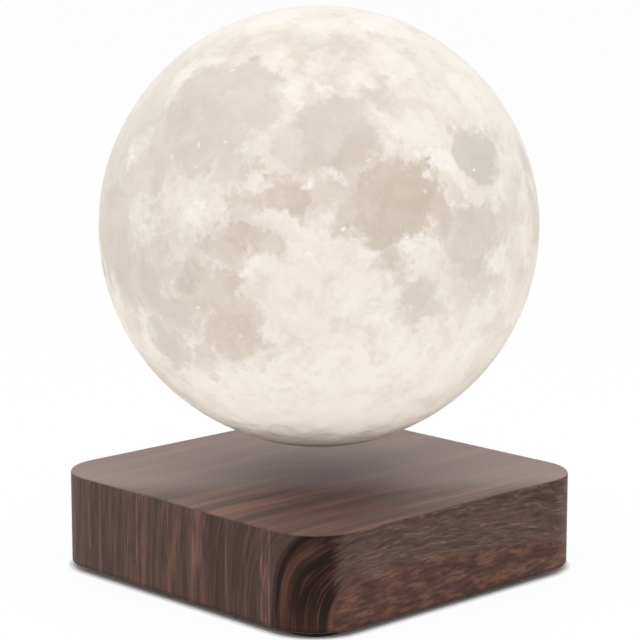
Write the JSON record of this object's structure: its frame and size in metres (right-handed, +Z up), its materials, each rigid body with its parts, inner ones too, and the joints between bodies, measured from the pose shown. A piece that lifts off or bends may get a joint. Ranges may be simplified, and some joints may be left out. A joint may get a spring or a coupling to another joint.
{
  "type": "levitating moon lamp",
  "caption": "Levitating moon lamp: a printed moon ball floats and turns above a square walnut base that has a power socket in one side.",
  "frame": {"origin": "on the surface that the lamp stands on, at the bottom of the feet, under the centre of the ball", "axes": "+Z up; the sides of the base lie along X and Y; the power socket is in the middle of the +Y side; the picture looks at the corner between +X and -Y"},
  "size_m": [0.14, 0.14, 0.181],
  "materials": {
    "walnut": "satin",
    "black_plastic": "matte",
    "foot_rubber": "matte",
    "screw_steel": "satin",
    "board_green": "satin",
    "brass": "satin",
    "white_plastic": "matte",
    "ferrite": "matte",
    "copper": "satin",
    "core_iron": "satin",
    "nickel": "polished",
    "chip_black": "matte",
    "capacitor_can": "satin",
    "light_plate": "satin",
    "diode_yellow": "satin",
    "printed_moon": "matte",
    "cap_white": "matte"
  },
  "bodies": {
    "base": {"wood_housing": "walnut", "bottom_cover": "black_plastic", "cover_screws": "screw_steel", "control_board": "board_green", "board_standoffs": "brass", "cover_board_screws": "screw_steel", "board_screws": "screw_steel", "magnet_carrier": "white_plastic", "ring_magnet": "ferrite", "sensor_post": "white_plastic", "field_sensors": "chip_black", "ferrite_sheet": "ferrite", "coil_former": "white_plastic", "transmit_coil": "copper", "transmit_leads": "copper", "dc_jack": "black_plastic", "jack_pin": "brass", "microcontroller": "chip_black", "coil_drivers": "chip_black", "bulk_capacitors": "capacitor_can", "power_inductor": "ferrite", "touch_pad": "copper", "touch_lead": "copper", "winding_pins": "copper", "bobbin_back": "black_plastic", "bobbin_front": "black_plastic", "bobbin_left": "black_plastic", "bobbin_right": "black_plastic", "core_back": "core_iron", "core_front": "core_iron", "core_left": "core_iron", "core_right": "core_iron", "foot_back": "foot_rubber", "foot_front": "foot_rubber", "foot_left": "foot_rubber", "foot_right": "foot_rubber", "winding_back": "copper", "winding_front": "copper", "winding_left": "copper", "winding_right": "copper"},
    "float": {"levitation_magnet": "nickel"},
    "moon": {"moon_shell": "printed_moon", "bottom_cap": "cap_white", "magnet_lid": "black_plastic", "receiver_coil": "copper", "receiver_board": "board_green", "receiver_parts": "chip_black", "receiver_screws": "screw_steel", "light_spacers": "brass", "light_plate": "light_plate", "light_diodes": "diode_yellow", "light_screws": "screw_steel"}
  },
  "joints": [
    {"name": "lift", "type": "slide", "parent": "base", "child": "float", "axis": [0, 0, 1], "range_m": [-0.0112, 0.012], "stiffness_N_per_m": 200, "springref_m": 0.00915},
    {"name": "spin", "type": "hinge", "parent": "float", "child": "moon", "pos_m": [0, 0, 0.111], "axis": [0, 0, 1], "continuous": true}
  ]
}
